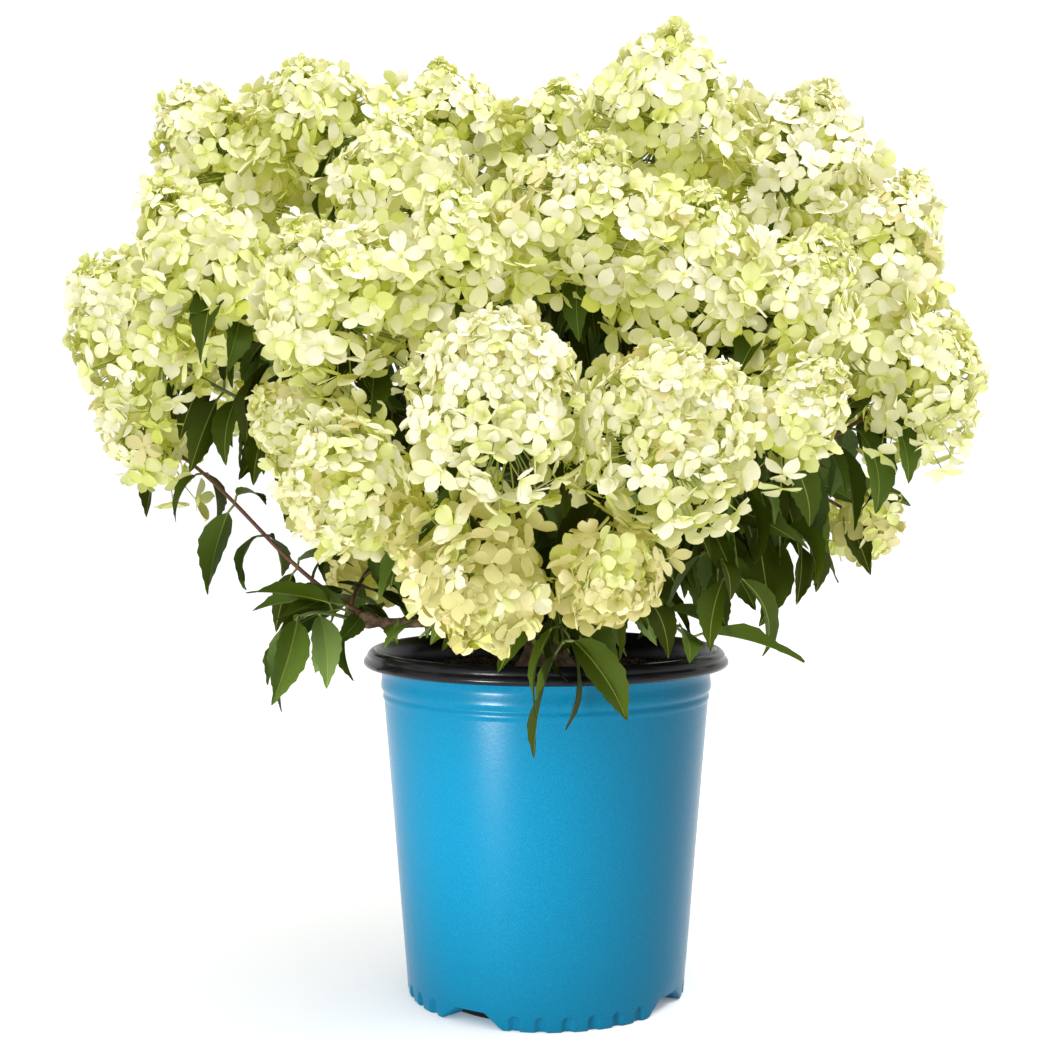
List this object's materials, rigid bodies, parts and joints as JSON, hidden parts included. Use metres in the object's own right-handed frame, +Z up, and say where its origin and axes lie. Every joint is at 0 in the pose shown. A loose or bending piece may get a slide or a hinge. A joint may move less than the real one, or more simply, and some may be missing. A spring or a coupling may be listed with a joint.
{
  "type": "potted panicle hydrangea shrub",
  "caption": "Flowering hydrangea shrub with cream and lime flower heads over dark green leaves, in a round blue nursery pot with a black rim.",
  "frame": {"origin": "centre of the pot's flat underside, where it stands on the ground", "axes": "+Z up along the pot's axis, -Y towards the plant's front, +X to the right of someone looking at the front"},
  "size_m": [0.5976, 0.5367, 0.6196],
  "materials": {
    "pot_blue": "satin blue outside, black rim",
    "mix_brown": "rough, crumbly",
    "bark": "dull, finely furrowed",
    "leaf_green": "satin, veined",
    "petal_cream": "soft matte",
    "petal_lime": "soft matte"
  },
  "bodies": {
    "root": {"bough_back": "bark", "bough_back_left": "bark", "bough_back_right": "bark", "bough_front": "bark", "bough_left": "bark", "bough_left_front": "bark", "bough_left_low": "bark", "bough_middle_left": "bark", "bough_middle_right": "bark", "bough_right": "bark", "bough_right_low": "bark", "head_back": "petal_lime", "head_back_left": "petal_lime", "head_back_left_low": "petal_cream", "head_back_left_top": "petal_lime", "head_back_low": "petal_cream", "head_back_low_left": "petal_cream", "head_back_right": "petal_lime", "head_back_right_low": "petal_cream", "head_back_right_top": "petal_lime", "head_back_top": "petal_lime", "head_centre": "petal_lime", "head_centre_left": "petal_lime", "head_centre_middle": "petal_lime", "head_centre_right": "petal_lime", "head_far_left": "petal_lime", "head_far_right_low": "petal_cream", "head_front_left": "petal_cream", "head_front_low": "petal_cream", "head_front_low_left": "petal_cream", "head_front_low_side": "petal_cream", "head_front_right": "petal_cream", "head_left_centre": "petal_lime", "head_left_low_back": "petal_cream", "head_left_low_front": "petal_cream", "head_left_small": "petal_lime", "head_left_upper": "petal_lime", "head_right_front": "petal_lime", "head_right_middle_low": "petal_cream", "head_right_small": "petal_cream", "head_right_upper": "petal_lime", "head_top_centre": "petal_lime", "head_top_left": "petal_lime", "head_top_left_middle": "petal_lime", "head_top_middle_back": "petal_lime", "head_top_right": "petal_lime", "head_top_right_middle": "petal_lime", "leaves_back_left": "leaf_green", "leaves_back_right": "leaf_green", "leaves_front": "leaf_green", "leaves_front_left": "leaf_green", "leaves_front_right": "leaf_green", "leaves_left_low": "leaf_green", "leaves_right_front": "leaf_green", "leaves_right_low": "leaf_green", "pot": "pot_blue", "potting_mix": "mix_brown", "woody_base": "bark"}
  },
  "joints": []
}
